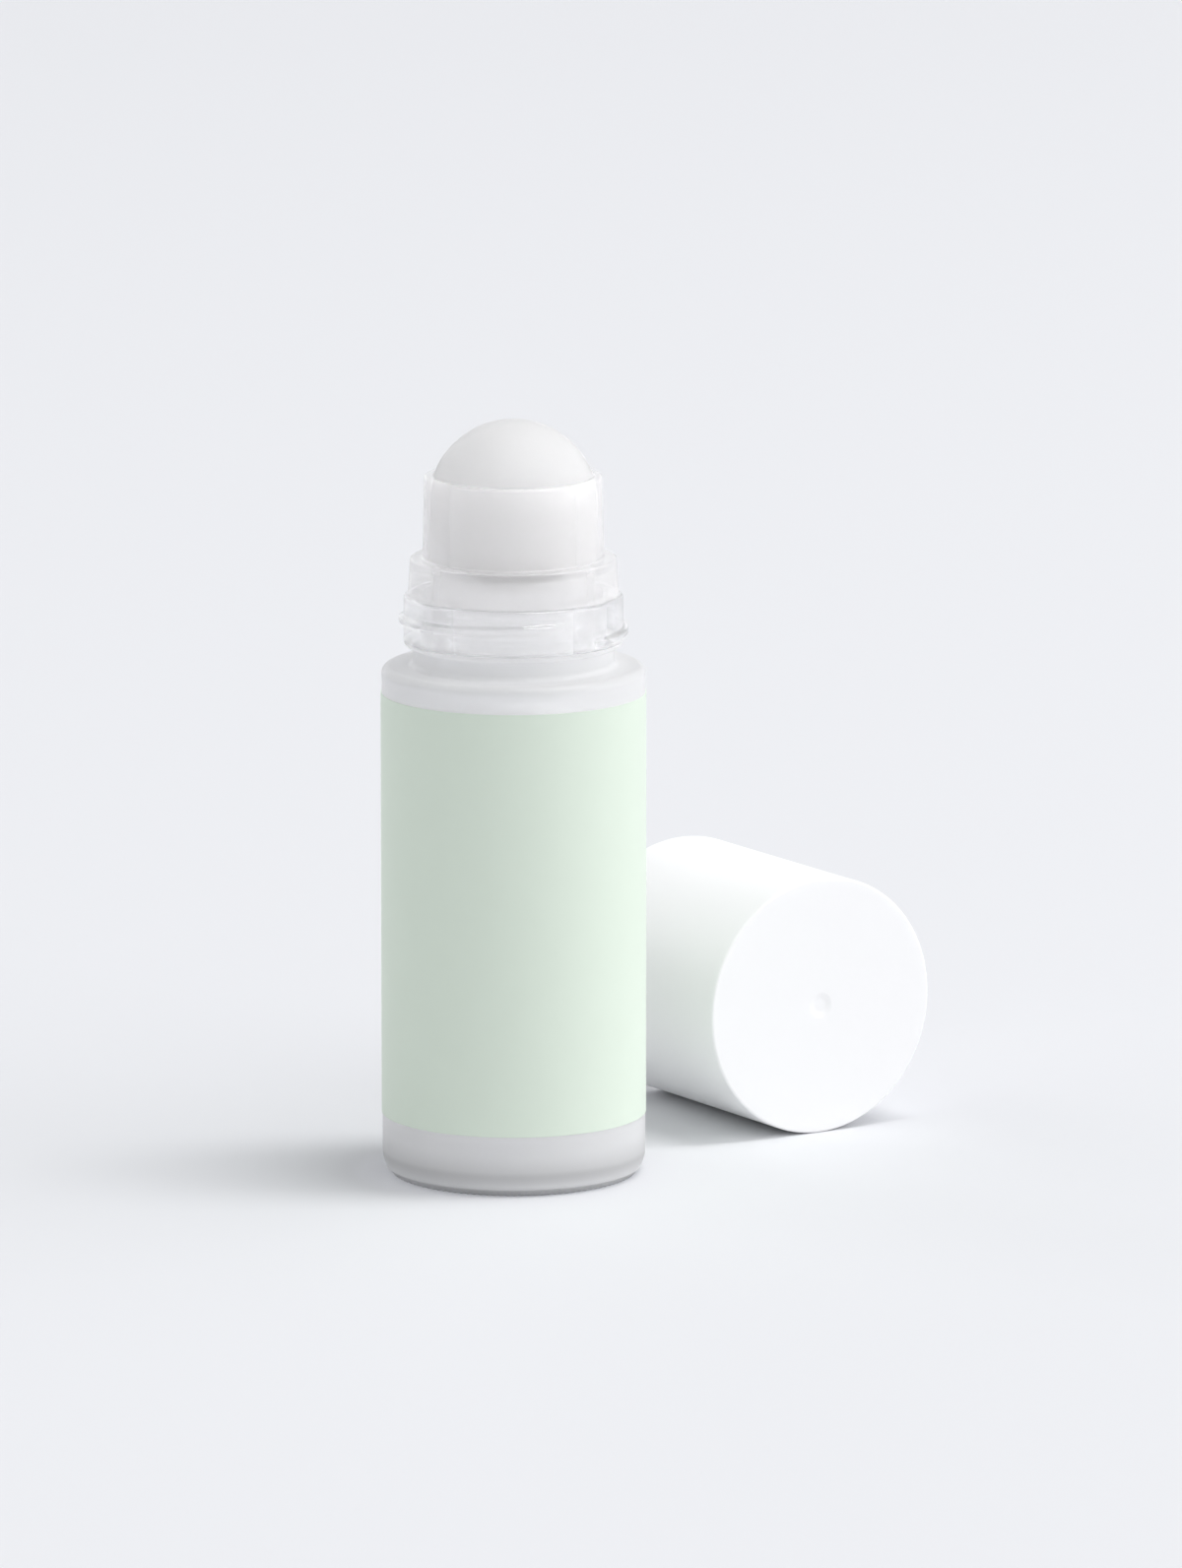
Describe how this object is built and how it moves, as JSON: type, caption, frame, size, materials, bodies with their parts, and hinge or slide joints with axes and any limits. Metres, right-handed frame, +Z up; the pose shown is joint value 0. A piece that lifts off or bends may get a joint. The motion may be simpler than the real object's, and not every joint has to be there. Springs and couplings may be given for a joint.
{
  "type": "roll on bottle",
  "caption": "Frosted glass roll-on bottle with a clear threaded neck, a ball held in a see-through housing to spread liquid on skin, a wrap-round label and its screw cap lying beside it.",
  "frame": {"origin": "middle of the bottle's foot, on the surface that it stands on", "axes": "+Z up the bottle's axis; the cap lies at +X with its axis along Y and its crown towards -Y; the label's ends meet at +Y"},
  "size_m": [0.0893, 0.0537, 0.11],
  "materials": {
    "frosted_glass": "acid-etched outside below the neck, clear above",
    "clear_pp": "clarified polypropylene, see-through",
    "white_ball_pp": "satin white polypropylene",
    "white_cap_pp": "satin white moulded polypropylene",
    "label_film": "matt pale green film"
  },
  "bodies": {
    "bottle": {"glass_bottle": "frosted_glass", "ball_housing": "clear_pp", "wrap_label": "label_film"},
    "ball": {"roller_ball": "white_ball_pp"},
    "cap": {"screw_cap": "white_cap_pp"}
  },
  "joints": [
    {"name": "ball_roll", "type": "hinge", "parent": "bottle", "child": "ball", "pos_m": [0, 0, 0.09781], "axis": [1, 0, 0], "continuous": true},
    {"name": "cap_lift", "type": "slide", "parent": "bottle", "child": "cap", "axis": [0, 0, 1], "range_m": [0, 0.12]}
  ]
}
